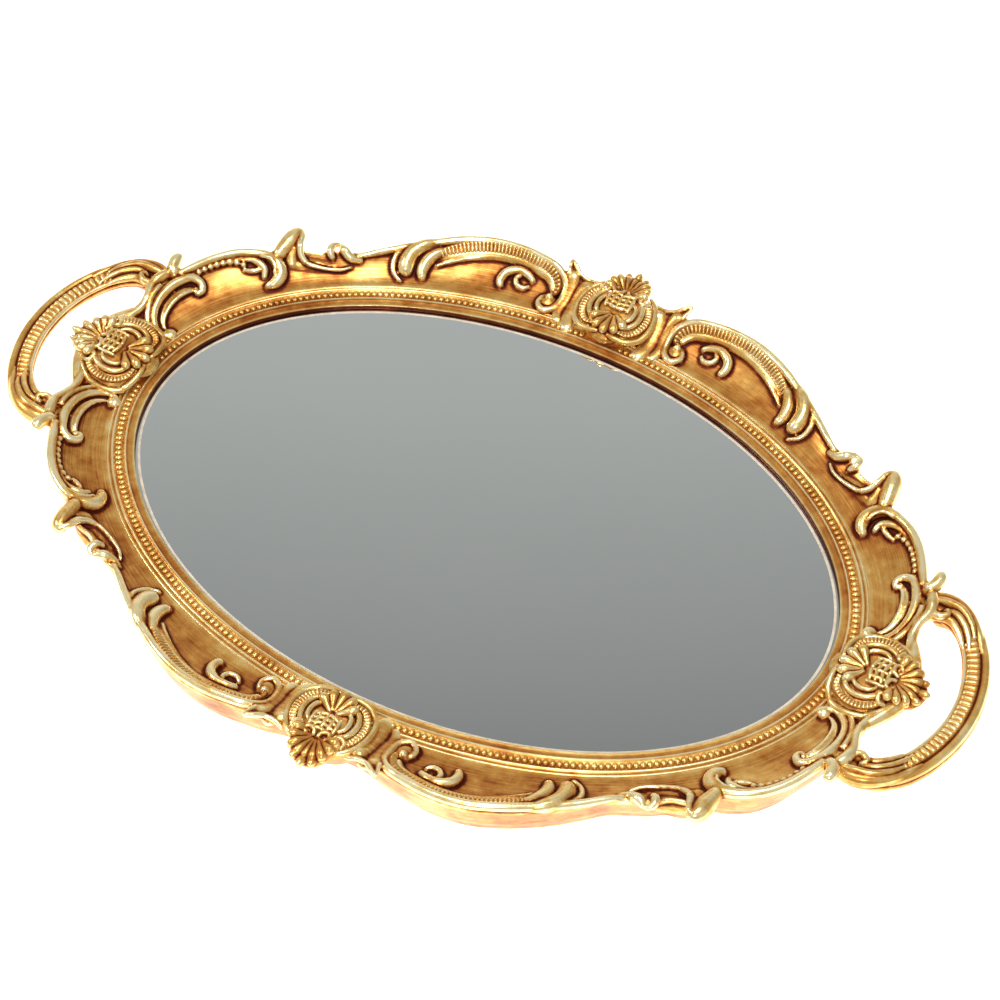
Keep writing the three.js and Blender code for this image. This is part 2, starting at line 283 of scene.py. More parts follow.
def turned(piece, name):
    """A copy of a piece on the opposite side of the tray."""
    return copy_of(piece, name, Matrix.Rotation(math.pi, 4, "Z"))


# ---- carving

def section(shape, count=14):
    """A stroke's cross-section as (sideways, up) shares of its size."""
    turn = np.linspace(0, 2 * np.pi, count, endpoint=False)
    side, up = np.cos(turn), np.sin(turn)
    if shape == "leaf":
        vein = np.exp(-(side / 0.35) ** 2)
        up = np.where(up > 0, up * (0.8 - 0.45 * vein), up * 0.7)
    elif shape == "flat":
        up = up * 0.55
    return np.stack([side, up], -1)


def along(points, step):
    """Points close together on a smooth line through the given points, with the distance run."""
    keys = np.asarray(points, float)
    gaps = np.linalg.norm(np.diff(keys[:, :2], axis=0), axis=1)
    at = np.concatenate([[0], np.cumsum(np.maximum(gaps, 1e-3) ** 0.5)])
    fine = np.linspace(0, at[-1], 40 * len(keys))
    line = hermite(at, keys, np.gradient(keys, at, axis=0), fine)
    run = np.concatenate([[0], np.cumsum(np.linalg.norm(np.diff(line[:, :2], axis=0), axis=1))])
    count = max(6, int(run[-1] / step))
    even = np.linspace(0, run[-1], count)
    return np.stack([np.interp(even, run, line[:, k]) for k in range(keys.shape[1])], -1), even


def beside(points, distance):
    """The same line, moved sideways on the plan."""
    line = np.asarray(points, float)
    heading = np.gradient(line[:, :2], axis=0)
    heading /= np.linalg.norm(heading, axis=1, keepdims=True)
    moved = line.copy()
    moved[:, 0] += heading[:, 1] * distance
    moved[:, 1] -= heading[:, 0] * distance
    return moved


def swept(centre, outlines, tilt=0.0):
    """Rings round a line: each outline holds (sideways, up) distances from its centre point.

    tilt leans their tops towards the right-hand side of the line, in degrees."""
    heading = np.gradient(centre, axis=0)
    heading /= np.linalg.norm(heading, axis=1, keepdims=True)
    side = np.cross(heading, (0, 0, 1))
    side /= np.linalg.norm(side, axis=1, keepdims=True)
    up = np.cross(side, heading)
    lean = math.radians(tilt)
    across = side * math.cos(lean) - up * math.sin(lean)
    over = up * math.cos(lean) + side * math.sin(lean)
    return centre[:, None] + across[:, None] * outlines[..., :1] + over[:, None] * outlines[..., 1:]


def tube_faces(rows, columns, start=0):
    """The faces of a tube through rows of corners, capped at both ends."""
    last = start + (rows - 1) * columns
    faces = []
    for low in range(start, last, columns):
        high = low + columns
        faces += [(low + j, low + k, high + k, high + j) for j in range(columns) for k in [(j + 1) % columns]]
    faces.append(tuple(range(start + columns - 1, start - 1, -1)))
    faces.append(tuple(range(last, last + columns)))
    return faces


class Carving:
    """Closed shapes laid over each other on the grid. cast() fuses them into one skin."""

    def __init__(self, lie_on):
        self.lie_on = lie_on
        self.corners = []
        self.faces = []
        self.count = 0

    def rings(self, rings):
        """A closed shape through rings of points, capped at both ends."""
        rows, columns = rings.shape[:2]
        self.corners.append(rings.reshape(-1, 3))
        self.faces += tube_faces(rows, columns, self.count)
        self.count += rows * columns

    def stroke(self, points, shape="round"):
        """A bar along points of (x, y, rise over the ground, size), with rounded ends."""
        line, run = along(points, 0.35)
        size = np.maximum(line[:, 3], 0.05)
        for end, reach in ((run, size[0]), (run[-1] - run, size[-1])):
            near = np.clip(1 - end / max(reach, 0.05), 0, 1)
            size = size * np.sqrt(np.maximum(1 - near ** 2, 0.02))
        centre = np.stack([line[:, 0], line[:, 1], self.lie_on(line[:, :2]) + line[:, 2]], -1)
        self.rings(swept(centre, section(shape)[None] * size[:, None, None]))

    def ball(self, x, y, rise, size, height=None):
        """A rounded boss, as high as height says."""
        height = size if height is None else height
        centre = self.lie_on(np.array([[x, y]]))[0] + rise
        tilt = np.linspace(-np.pi / 2 + 0.12, np.pi / 2 - 0.12, 9)
        turn = np.linspace(0, 2 * np.pi, 16, endpoint=False)
        rings = np.empty((len(tilt), len(turn), 3))
        rings[..., 0] = x + size * np.cos(tilt)[:, None] * np.cos(turn)
        rings[..., 1] = y + size * np.cos(tilt)[:, None] * np.sin(turn)
        rings[..., 2] = centre + height * np.sin(tilt)[:, None]
        self.rings(rings)

    def beads(self, points, pitch, size, rise):
        """A row of small balls along a line."""
        line, run = along([(*point, 0) for point in points], 0.1)
        for distance in np.arange(0, run[-1] + 0.01, pitch):
            x, y = (np.interp(distance, run, line[:, k]) for k in (0, 1))
            self.ball(x, y, rise, size)

    def cast(self, name, voxel):
        """One skin over everything, in metres, with its edges a little softened as a casting's are."""
        piece = new_piece(name, np.concatenate(self.corners), self.faces)
        apply_modifier(piece, "REMESH", mode="VOXEL", voxel_size=voxel, use_smooth_shade=True)
        apply_modifier(piece, "SMOOTH", factor=0.5, iterations=2)
        return piece


def fluted_band(name, points, pitch, tilt, lie_on):
    """A band with ribs across it, along points of (x, y, rise, half width), as its own shape."""
    steps_in_a_rib = 7
    line, run = along(points, pitch / steps_in_a_rib)
    centre = np.stack([line[:, 0], line[:, 1], lie_on(line[:, :2]) + line[:, 2]], -1)
    side = np.array([1.0, 0.93, 0.75, 0.4, 0.0, -0.4, -0.75, -0.93, -1.0, -0.8, 0.8])
    crown = np.array([-0.10, 0.10, 0.24, 0.30, 0.30, 0.30, 0.24, 0.10, -0.10, -0.75, -0.75])
    face = np.array([0, 0.55, 1, 1, 1, 1, 1, 0.55, 0, 0, 0])
    rib = np.abs(np.sin(np.pi * run / pitch)) ** 0.8
    rise = crown + face * 0.40 * (rib[:, None] - 0.6)
    half = line[:, 3:4]
    outlines = np.stack([np.broadcast_to(side, rise.shape) * half, rise * np.minimum(half, 1.6)], -1)
    rings = swept(centre, outlines, tilt)
    rows, columns = rings.shape[:2]
    piece = new_piece(name, rings.reshape(-1, 3), tube_faces(rows, columns))
    # Rib crests paler and the gaps and sides darker: patina in the gaps, and on the crests worn gold that is
    # partly a painted highlight.
    store(piece.data, "ridge", (0.30 + face * (0.55 * rib[:, None] ** 1.5)).ravel())
    store(piece.data, "height", np.full(rows * columns, 0.62))
    smooth(piece, 60)
    return piece


NEAR_STEPS = 4
WIDE_STEPS = 60
WIDE_GAIN = 1.5
MILLIMETRES = 1000


def relief(piece, near_gain=9.0):
    """Stores how far each corner stands out of its surroundings, near by and over a wider area."""
    mesh = piece.data
    corners = corners_of(mesh)
    edges = np.empty(len(mesh.edges) * 2, np.int64)
    mesh.edges.foreach_get("vertices", edges)
    a, b = edges.reshape(-1, 2).T
    ends, others = np.concatenate([a, b]), np.concatenate([b, a])
    count = np.maximum(np.bincount(ends, minlength=len(corners)), 1)
    normals = np.empty(len(corners) * 3, np.float32)
    mesh.vertices.foreach_get("normal", normals)
    normals = normals.reshape(-1, 3)
    soft = corners.copy()
    for i in range(1, WIDE_STEPS + 1):
        soft = np.stack(
            [np.bincount(ends, soft[others, k], len(corners)) for k in range(3)], -1
        ) / count[:, None]
        if i == NEAR_STEPS:
            near = ((corners - soft) * normals).sum(1) * MILLIMETRES
    wide = ((corners - soft) * normals).sum(1) * MILLIMETRES
    store(mesh, "ridge", 0.5 + 0.5 * np.tanh(near_gain * near))
    store(mesh, "height", 0.5 + 0.5 * np.tanh(WIDE_GAIN * wide))


def grain(piece):
    """Stores the distance round and across the moulding, in millimetres, for brush marks."""
    mesh = piece.data
    corners = corners_of(mesh)
    plan = np.abs(corners[:, :2]) / UNIT
    angle, out = on_oval(plan)
    out += drawn(corners[:, 2])
    run = np.interp(angle, OVAL_ANGLES, OVAL_LENGTHS)
    store(mesh, "round", run * UNIT * MILLIMETRES)
    store(mesh, "out", out * UNIT * MILLIMETRES)


# ---- materials

class Value:
    """A socket that can be used in sums. Each sum adds its Math node."""

    def __init__(self, finish, socket):
        self.finish = finish
        self.socket = socket

    def sum_of(self, operation, first, second):
        return self.finish.node("ShaderNodeMath", {"operation": operation}, {0: first, 1: second})

    def __add__(self, other):
        return self.sum_of("ADD", self, other)

    def __sub__(self, other):
        return self.sum_of("SUBTRACT", self, other)

    def __mul__(self, other):
        return self.sum_of("MULTIPLY", self, other)


class Finish:
    """A material, or the world, under construction."""

    def __init__(self, owner, shader, **constants):
        owner.use_nodes = True
        self.owner = owner
        self.tree = owner.node_tree
        self.shader = self.tree.nodes[shader]
        for key, value in constants.items():
            self.shader.inputs[key.replace("_", " ")].default_value = value

    def node(self, kind, settings=None, inputs=None, output=0):
        """Adds a node with its settings first, then its inputs, and returns one output."""
        node = self.tree.nodes.new(kind)
        for key, value in (settings or {}).items():
            setattr(node, key, value)
        for key, value in (inputs or {}).items():
            if isinstance(value, Value):
                self.tree.links.new(value.socket, node.inputs[key])
            else:
                node.inputs[key].default_value = value
        return Value(self, node.outputs[output])

    def feed(self, socket, value):
        self.tree.links.new(value.socket, self.shader.inputs[socket])

    def attribute(self, name):
        return self.node("ShaderNodeAttribute", {"attribute_name": name}, output=2)

    def noise(self, scale, detail=3.0, roughness=0.6, vector=None):
        """Noise at the object's coordinates, or at another vector."""
        vector = vector or self.node("ShaderNodeTexCoord", output=3)
        inputs = {"Vector": vector, "Scale": scale, "Detail": detail, "Roughness": roughness}
        return self.node("ShaderNodeTexNoise", {}, inputs)

    def clamp(self, value, low=0.0, high=1.0, out_low=0.0, out_high=1.0):
        inputs = {0: value, 1: low, 2: high, 3: out_low, 4: out_high}
        return self.node("ShaderNodeMapRange", {"interpolation_type": "SMOOTHSTEP"}, inputs)

    def ramp(self, factor, stops):
        value = self.node("ShaderNodeValToRGB", {}, {0: factor})
        elements = value.socket.node.color_ramp.elements
        while len(elements) < len(stops):
            elements.new(0.5)
        for element, (place, colour) in zip(elements, stops):
            element.position = place
            element.color = (*colour, 1)
        return value

    def bump(self, height, strength, distance):
        inputs = {"Height": height, "Strength": strength, "Distance": distance}
        return self.node("ShaderNodeBump", {}, inputs)


def painted(name, **constants):
    return Finish(bpy.data.materials.new(name), "Principled BSDF", **constants)


# Colours of the gilt from the brown patina of the hollows to pale gold; the palest end is partly a painted
# highlight.
PATINA_TO_PAINTED_HIGHLIGHT = [
    (0.0, (0.060, 0.006, 0.001)),
    (0.18, (0.155, 0.026, 0.004)),
    (0.36, (0.320, 0.092, 0.014)),
    (0.54, (0.530, 0.222, 0.046)),
    (0.70, (0.720, 0.385, 0.095)),
    (0.84, (0.880, 0.590, 0.195)),
    (1.0, (1.000, 0.860, 0.500)),
]


def gilt(name, level, streaks=False):
    """Antique gold paint: brown patina left in the hollows, and pale gold on what stands out, which is partly worn
    gold and partly a painted highlight.

    level makes it paler, and streaks adds the marks of a brush drawn round the moulding."""
    finish = painted(name, IOR=1.5, Specular_IOR_Level=0.15)
    ridge = finish.attribute("ridge")
    height = finish.attribute("height")
    mottle = finish.noise(260.0, 4.0, 0.65)
    wash = finish.noise(45.0)
    # Darker in the hollows for the patina; paler on ridges and on broad raised parts, which is partly worn gold
    # and partly a painted highlight.
    hollow = finish.clamp(ridge, 0.02, 0.52, -0.56, 0.0)
    rubbed_and_painted_highlight = finish.clamp(ridge, 0.52, 1.0, 0.0, 0.30)
    tone = hollow + rubbed_and_painted_highlight + (height - 0.5) * 0.26 + (mottle - 0.5) * 0.36 + (wash - 0.5) * 0.65
    tone = tone + (0.56 + level)
    if streaks:
        inputs = {0: finish.attribute("round") * 0.035, 1: finish.attribute("out") * 0.9}
        brushed = finish.noise(1.6, 5.0, 0.72, finish.node("ShaderNodeCombineXYZ", {}, inputs))
        tone = tone + (brushed - 0.5) * 0.62
    tone = finish.clamp(tone, 0.0, 1.02)
    finish.feed("Base Color", finish.ramp(tone, PATINA_TO_PAINTED_HIGHLIGHT))
    finish.feed("Metallic", finish.clamp(tone, 0.1, 0.8, 0.45, 0.72))
    finish.feed("Roughness", finish.clamp(tone, 0.0, 1.0, 0.42, 0.24) + (mottle - 0.5) * 0.12)
    finish.feed("Normal", finish.bump(mottle, 0.06, 0.0004))
    return finish.owner


def speckled(name, scale, dark, pale, rough=None, bump=None, fine=(3.0, 0.6), clouds=None, low=0.2, **constants):
    """A finish with fine specks of colour and shine, over slow clouds of (scale, share) where it has them."""
    finish = painted(name, **constants)
    specks = finish.noise(scale, *fine)
    tone = specks
    if clouds:
        tone = specks * (1 - clouds[1]) + finish.noise(clouds[0]) * clouds[1]
    finish.feed("Base Color", finish.ramp(tone, [(0.3, dark), (0.7, pale)]))
    if rough:
        finish.feed("Roughness", finish.clamp(specks, low, 0.8, *rough))
    if bump:
        finish.feed("Normal", finish.bump(specks, *bump))
    return finish.owner


GILT = gilt("antique_gilt", 0.03, streaks=True)
GILT_ORNAMENT = gilt("antique_gilt_ornament", 0.02)
GILT_SHELL = gilt("antique_gilt_shell", 0.05)
GILT_LINE = gilt("antique_gilt_line", 0.12)
SILVER = speckled(
    "mirror_silver", 9.0, (0.79, 0.83, 0.805), (0.81, 0.85, 0.825), (0.012, 0.03), low=0.3, Metallic=1.0
)
# a pale band on the mirror's face, a painted reflection of the frame's lip
PAINTED_LIP_REFLECTION = speckled("ground_glass", 300.0, (0.62, 0.52, 0.38), (0.82, 0.73, 0.58), (0.25, 0.45), low=0.3)
FIBREBOARD = speckled(
    "fibreboard", 900.0, (0.20, 0.125, 0.07), (0.42, 0.29, 0.18), (0.75, 0.92), (0.25, 0.0003), (4.0, 0.7),
    clouds=(30.0, 0.3),
)
FELT = speckled(
    "felt_nap", 2600.0, (0.008, 0.008, 0.010), (0.045, 0.044, 0.050), (0.88, 1.0), (0.5, 0.0005), (3.0, 0.8),
    clouds=(40.0, 0.35), Sheen_Weight=0.5, Sheen_Roughness=0.6,
)
ZINC = speckled("zinc_plate", 1500.0, (0.46, 0.46, 0.44), (0.64, 0.64, 0.61), (0.24, 0.42), Metallic=1.0)
RUBBER = speckled(
    "bumper_rubber", 1800.0, (0.018, 0.018, 0.020), (0.040, 0.040, 0.043), (0.55, 0.75), (0.2, 0.0002)
)
FOAM = speckled("foam_tape", 2200.0, (0.02, 0.02, 0.02), (0.07, 0.07, 0.07), bump=(0.4, 0.0003), fine=(2.0, 0.6))


def finish_piece(piece, material, node):
    """Gives a new piece its finish, hangs it under the root body, and hides the CAD node that it stands for."""
    piece.data.materials.clear()
    piece.data.materials.append(material)
    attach(piece, "root")
    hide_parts(node)


def gild(pieces, material, node):
    for piece in pieces:
        finish_piece(piece, material, node)


# ---- frame moulding

def moulding_section(angle):
    """The body of the frame outside the beaded line at one angle, as (out, height), going round."""
    width, height = (float(v) for v in rim(np.array(angle, float)))
    share = np.linspace(0, 1, 14)
    hollow = [(COVE_START + s * (COVE_END * width - COVE_START), cove(s, height)) for s in share]
    crest = [(width - 0.5, height + 0.1), (width - 0.12, height - 0.45), (width, height - 1.1)]
    wall = [
        (width - 0.35, height - 2.4), (width - 1.3, height * 0.5 - 3.4), (width - 2.6, -5.6),
        (width - 4.0, -8.8), (width - 4.6, BASE + 0.9), (width - 4.9, BASE + 0.25), (width - 5.2, BASE),
    ]
    under = [
        (width - 9.0, BASE), (BOARD_REBATE_OUT, BASE), (BOARD_REBATE_OUT, LEDGE), (3.0, LEDGE),
        (3.0, COVE_FLOOR - 0.3),
    ]
    return hollow + crest + wall + under


# The strokes of one quarter, as points of (x, y, rise over the ground, size), and the shape if it isn't round.
QUARTER_STROKES = [
    # The long scroll: its outer roll and the thin inner ridge, with the fluted band laid between them.
    [(26.2, 92.6, 0.9, 0.8), (26.6, 89.4, 0.9, 1.0), (24.0, 87.2, 0.9, 1.2), (20.9, 89.4, 0.8, 1.25),
     (19.9, 94.3, 0.8, 1.3), (21.0, 98.9, 1.0, 1.4), (25.0, 101.9, 1.2, 1.45), (31.0, 103.2, 1.5, 1.5),
     (40.0, 103.6, 1.7, 1.5), (50.0, 101.9, 1.7, 1.5), (60.0, 97.5, 1.5, 1.5), (68.0, 92.4, 1.0, 1.45),
     (74.5, 87.7, 0.6, 1.4), (80.0, 83.3, 0.2, 1.3), (86.0, 78.0, 0.1, 1.1), (89.5, 75.4, 0.1, 0.8)],
    [(25.6, 96.6, 0.7, 0.5), (28.5, 98.5, 0.5, 0.7), (34.0, 99.4, 0.4, 0.8), (40.5, 99.4, 0.4, 0.85),
     (47.5, 98.0, 0.4, 0.85), (54.0, 94.9, 0.4, 0.85), (60.0, 90.6, 0.5, 0.8), (64.6, 86.0, 0.6, 0.4)],
    [(23.6, 95.0, 0.2, 1.2), (26.5, 99.0, -0.4, 2.0), (34.0, 100.9, -0.8, 2.4), (43.5, 100.6, -0.8, 2.4),
     (53.0, 97.4, -0.8, 2.4), (61.0, 92.4, -0.8, 2.2), (66.0, 87.6, -0.5, 1.2)],
    # Leaves that drop from the end of the long scroll into the cove.
    [(62.0, 93.6, 0.2, 0.9), (65.6, 90.4, 0.7, 1.9), (67.6, 86.0, 0.9, 2.2), (67.4, 82.0, 0.8, 1.9),
     (65.8, 79.4, 0.7, 1.2)],
    [(65.5, 94.4, 0.5, 0.9), (70.4, 90.4, 0.9, 2.2), (73.2, 85.6, 1.1, 2.7), (73.0, 81.0, 1.2, 2.8),
     (71.0, 78.0, 1.1, 2.0)],
    [(66.6, 92.0, 1.4, 0.5), (70.8, 86.4, 2.4, 0.7), (71.6, 82.2, 2.6, 0.7), (70.2, 78.8, 2.2, 0.5)],
    [(71.6, 91.0, 0.6, 0.6), (76.4, 85.8, 0.8, 0.9), (77.6, 81.4, 0.9, 0.9), (75.9, 77.4, 0.8, 0.8),
     (72.0, 75.4, 0.7, 0.5)],
    # The small hook and leaf under the fluted band.
    [(31.4, 95.6, 0.4, 0.9), (34.2, 97.0, 0.7, 1.3), (38.2, 97.2, 0.9, 1.5), (41.6, 94.8, 1.0, 1.6),
     (42.2, 91.4, 1.0, 1.5), (40.8, 88.9, 0.9, 1.0)],
    [(36.4, 96.4, 0.6, 0.6), (37.6, 94.4, 0.8, 0.9), (36.4, 92.4, 0.8, 0.95), (33.8, 92.2, 0.8, 0.85),
     (32.2, 93.8, 0.7, 0.5)],
    # The broad wing beside the cartouche, creased down its middle, with a thin raised edge and a tip.
    [(12.4, 82.6, 0.2, 2.2), (14.4, 88.0, 0.3, 3.0), (14.6, 94.0, 0.3, 3.4), (14.0, 99.4, 0.2, 3.2),
     (11.6, 102.6, 0.0, 2.2), "flat"],
    [(17.4, 84.6, 0.4, 1.4), (18.8, 90.0, 0.6, 2.2), (18.4, 96.0, 0.5, 2.7), (19.2, 101.0, 0.7, 2.4),
     (21.2, 105.0, 1.6, 1.4), (22.4, 107.0, 2.4, 0.5), "flat"],
    [(20.4, 98.4, 1.0, 0.5), (21.6, 102.4, 1.7, 0.7), (22.6, 106.4, 2.7, 0.6), (20.6, 105.4, 2.5, 0.8),
     (17.6, 103.2, 1.5, 0.8), (13.8, 102.8, 0.9, 0.8), (10.4, 104.0, 0.5, 0.6)],
    # The small peak and the tall curled ear, with the crest that joins them.
    [(86.6, 75.6, -0.2, 0.9), (90.6, 74.2, 0.4, 1.6), (94.0, 75.2, 0.7, 1.6), (96.0, 77.0, 0.8, 0.6)],
    [(96.2, 77.0, 0.6, 0.6), (98.0, 74.8, 0.7, 1.3), (97.6, 72.2, 0.7, 1.4), (95.4, 70.6, 0.6, 0.8)],
    [(92.6, 71.6, -2.2, 2.0), (96.4, 69.4, -3.0, 3.2), (101.0, 67.6, -3.2, 3.7), (106.0, 65.4, -2.8, 3.6),
     (110.0, 62.0, -1.6, 2.6)],
    [(88.8, 71.8, 0.8, 0.4), (91.4, 69.0, 1.2, 0.6), (96.4, 66.3, 1.5, 0.65), (101.2, 64.8, 1.7, 0.8),
     (102.4, 64.6, 1.8, 0.9)],
    [(102.2, 64.6, 1.7, 0.9), (105.2, 65.8, 1.9, 1.1), (107.0, 68.6, 2.2, 1.2), (108.4, 72.2, 2.7, 1.2),
     (110.2, 73.8, 2.8, 0.9)],
    [(112.4, 60.2, 0.0, 1.8), (112.0, 64.4, 0.4, 2.7), (111.4, 68.6, 0.9, 3.2), (110.8, 72.0, 1.5, 2.9),
     (109.0, 74.9, 2.2, 1.5)],
    [(106.0, 62.0, 0.1, 1.6), (108.4, 65.0, 0.5, 2.4), (109.6, 69.0, 1.0, 2.4), (109.4, 72.0, 1.5, 1.8), "flat"],
    # The short scroll: its hooked outer roll, the inner flame and the row of beads.
    [(110.6, 50.6, 0.7, 1.0), (108.4, 53.2, 1.0, 2.0), (108.2, 56.8, 1.2, 2.4), (110.6, 59.4, 1.1, 2.2),
     (114.2, 60.2, 0.8, 1.8), (119.0, 58.8, 0.6, 1.6), (124.8, 55.0, 0.6, 1.6), (129.6, 49.4, 0.6, 1.6),
     (133.3, 42.8, 0.6, 1.6), (136.2, 36.6, 0.5, 1.4)],
    [(109.6, 54.8, 3.0, 0.4), (110.4, 57.2, 3.3, 0.6), (113.0, 58.8, 3.0, 0.6), (117.0, 58.2, 2.2, 0.5)],
    [(112.4, 53.0, 0.7, 0.8), (113.8, 55.8, 0.9, 1.3), (116.0, 56.6, 0.9, 1.3), (119.4, 56.2, 0.7, 0.9),
     (124.0, 53.2, 0.5, 0.8), (128.0, 48.8, 0.5, 0.8), (131.4, 43.0, 0.5, 0.7), (134.0, 37.4, 0.5, 0.5)],
    [(115.0, 57.0, 1.1, 0.6), (115.4, 54.6, 1.0, 0.9), (117.4, 53.2, 0.8, 0.9), (120.2, 52.0, 0.4, 0.4)],
    # The curled leaf that runs down to the end cartouche, with its small volute.
    [(129.6, 37.0, 0.9, 0.6), (128.0, 35.6, 1.1, 1.0), (127.2, 37.4, 1.1, 1.3), (129.0, 39.4, 1.0, 1.4),
     (132.0, 38.8, 0.9, 1.5), (134.6, 35.2, 0.8, 1.6), (136.4, 29.8, 0.7, 1.6), (136.6, 24.0, 0.7, 1.5),
     (134.6, 18.6, 0.7, 1.3), (130.6, 15.4, 0.8, 1.1), (126.6, 15.8, 0.9, 1.2)],
    [(128.6, 37.2, 0.3, 0.7), (131.0, 34.4, 0.8, 1.2), (132.8, 30.0, 0.9, 1.4), (133.2, 25.0, 0.9, 1.3),
     (132.0, 20.4, 0.8, 0.9), (129.6, 17.8, 0.7, 0.5), "leaf"],
    [(138.6, 30.6, 0.6, 0.8), (138.9, 25.0, 0.7, 1.1), (137.2, 19.4, 0.7, 1.1), (133.6, 14.6, 0.7, 0.9),
     (128.6, 12.6, 0.7, 0.6)],
    # The rolled edge beside the handle's opening, and the knob at the handle's root.
    [(138.2, 37.4, 0.5, 1.3), (140.6, 33.6, 0.6, 1.9), (141.4, 29.0, 0.3, 1.8), (140.2, 24.4, 0.1, 1.5),
     (139.9, 19.8, 0.0, 1.4), (141.0, 15.4, -0.3, 1.4), (141.8, 11.0, -0.8, 1.3)],
    [(140.6, 18.0, -1.2, 1.6), (143.0, 13.6, -0.9, 2.2), (145.4, 8.6, -0.7, 2.6), (146.8, 4.0, -0.6, 2.8)],
    [(136.6, 35.8, 0.8, 1.8), (139.2, 38.8, 1.3, 2.2), (139.6, 42.0, 1.9, 2.1), (138.6, 44.2, 2.1, 1.3)],
]
QUARTER_BALLS = [
    (24.2, 91.6, 0.6, 2.9, 1.2),
    (24.0, 92.6, 1.4, 1.3),
    (16.4, 101.8, -0.8, 2.6, 1.8),
    (127.2, 17.0, 0.6, 2.3, 1.4),
    (137.4, 36.8, -0.4, 2.6, 2.2),
]


def carve_quarter():
    """The ornament of one quarter: rim scrolls, curls and leaves over the cove."""
    carving = Carving(ground)
    stations = np.linspace(-4, 94, 250)
    rings = []
    for angle in stations:
        outline = np.array(moulding_section(angle))
        plan = oval(np.full(len(outline), angle), outline[:, 0])
        rings.append(np.column_stack([plan, outline[:, 1]]))
    carving.rings(np.array(rings))

    for stroke in QUARTER_STROKES:
        shape = stroke[-1] if isinstance(stroke[-1], str) else "round"
        carving.stroke([point for point in stroke if point != shape], shape)
    for ball in QUARTER_BALLS:
        carving.ball(*ball)
    carving.beads([(120.6, 53.4), (123.4, 52.4), (126.6, 49.6), (130.0, 44.4), (132.8, 38.2)], 2.3, 0.95, 0.8)
    return carving


def laid_bands():
    """The fluted band of the long scroll, in each quarter."""
    first = fluted_band("fluted_band_1", [
        (24.4, 93.4, 1.7, 0.6), (22.9, 94.2, 1.8, 1.0), (23.0, 96.6, 1.9, 1.3), (25.6, 99.5, 1.8, 1.7),
        (30.5, 101.2, 1.8, 2.1), (37.0, 101.8, 1.8, 2.3), (43.5, 101.3, 1.8, 2.4), (50.0, 99.5, 1.8, 2.4),
        (57.0, 95.9, 1.8, 2.3), (62.5, 91.9, 1.5, 1.9), (66.6, 87.9, 1.2, 1.0),
    ], 1.3, 46, ground)
    gild(quarters_of(first, "fluted_band"), GILT_ORNAMENT, "frame_moulding")


FRAME_VOXEL = 0.00048
FRAME_NEAR_GAIN = 7.5


def cut_at_axes(piece):
    """Trims a quarter at the tray's two middle lines and closes the cuts."""
    with editing(piece):
        for normal in ((1, 0, 0), (0, 1, 0)):
            bpy.ops.mesh.select_all(action="SELECT")
            bpy.ops.mesh.bisect(plane_co=(0, 0, 0), plane_no=normal, use_fill=True, clear_inner=True)


def frame_quarters():
    first = carve_quarter().cast("frame_quarter_1", FRAME_VOXEL)
    relief(first, FRAME_NEAR_GAIN)
    cut_at_axes(first)
    grain(first)
    smooth(first, 60)
    gild(quarters_of(first, "frame_quarter"), GILT, "frame_moulding")


# The sight moulding as (out, height, how far it stands out): from the lip over the mirror, across both fillets of
# the bead channel, to the cove. On the lip's inner face the third value is set low, a painted shade that makes a
# dark shadow gap over the mirror, and at the lip's upper inner edge it is set high, a painted highlight line.
SIGHT_SECTION = [
    (SIGHT_OUT, LIP_UNDER, 0.10), (SIGHT_OUT, -1.15, 0.16), (SIGHT_OUT + 0.04, -0.86, 0.50),
    (SIGHT_OUT + 0.16, -0.74, 0.85), (-4.6, -0.74, 0.62), (-4.1, -0.80, 0.38), (-3.2, -0.82, 0.36),
    (-2.6, -0.66, 0.30), (-2.42, -0.20, 0.45),
    (-2.25, 0.02, 0.92), (-1.95, 0.04, 0.90), (-1.7, -0.20, 0.48), (-1.45, -0.40, 0.36), (0.0, -0.48, 0.34),
    (1.45, -0.40, 0.36), (1.7, -0.20, 0.46), (1.9, 0.00, 0.80), (2.15, 0.06, 0.88), (2.45, -0.05, 0.60),
    (2.65, -0.28, 0.36), (2.9, -0.44, 0.30), (3.2, -0.38, 0.45), (3.5, -0.24, 0.80), (3.75, -0.26, 0.78),
    (4.0, -0.48, 0.42), (4.25, -0.95, 0.3), (4.25, -3.0, 0.2), (4.25, LEDGE + 0.1, 0.2),
    (GLASS_REBATE_OUT, LEDGE + 0.1, 0.3), (GLASS_REBATE_OUT, LIP_UNDER, 0.3),
]


def sight_moulding():
    """The inner moulding, drawn out of a ring of points one step of the section at a time."""
    climb = 0.1
    outline = np.array(SIGHT_SECTION)
    piece = circle("sight_moulding", 480, fill="NOTHING")
    with editing(piece):
        for _ in outline[1:]:
            extrude(climb)
    mesh = piece.data
    corners = corners_of(mesh)
    step = np.rint((corners[:, 2] - corners[:, 2].min()) / climb).astype(int)
    angle = np.degrees(np.arctan2(corners[:, 1], corners[:, 0]))
    plan = oval(angle, outline[step, 0])
    set_corners(mesh, np.column_stack([plan, outline[step, 1]]) * UNIT + (0, 0, bead_z))
    # the section's third values, with the painted shade on the lip's inner face and the painted highlight along
    # its edge
    store(mesh, "ridge", outline[step, 2])
    store(mesh, "height", np.full(len(mesh.vertices), 0.55))
    with editing(piece):
        bpy.ops.mesh.select_mode(type="EDGE")
        bpy.ops.mesh.select_all(action="DESELECT")
        bpy.ops.mesh.select_non_manifold()
        bpy.ops.mesh.bridge_edge_loops()
        face_outwards()
    grain(piece)
    smooth(piece, 40)
    gild([piece], GILT_LINE, "frame_moulding")


BEAD_COUNT = 320
BEAD_SIZE = 0.93
BEAD_SHAPE = (1.45, 1.02, 0.72)  # out, round and up
CARTOUCHE_COVER = 6.0  # no beads under the shells that lie over the beaded line


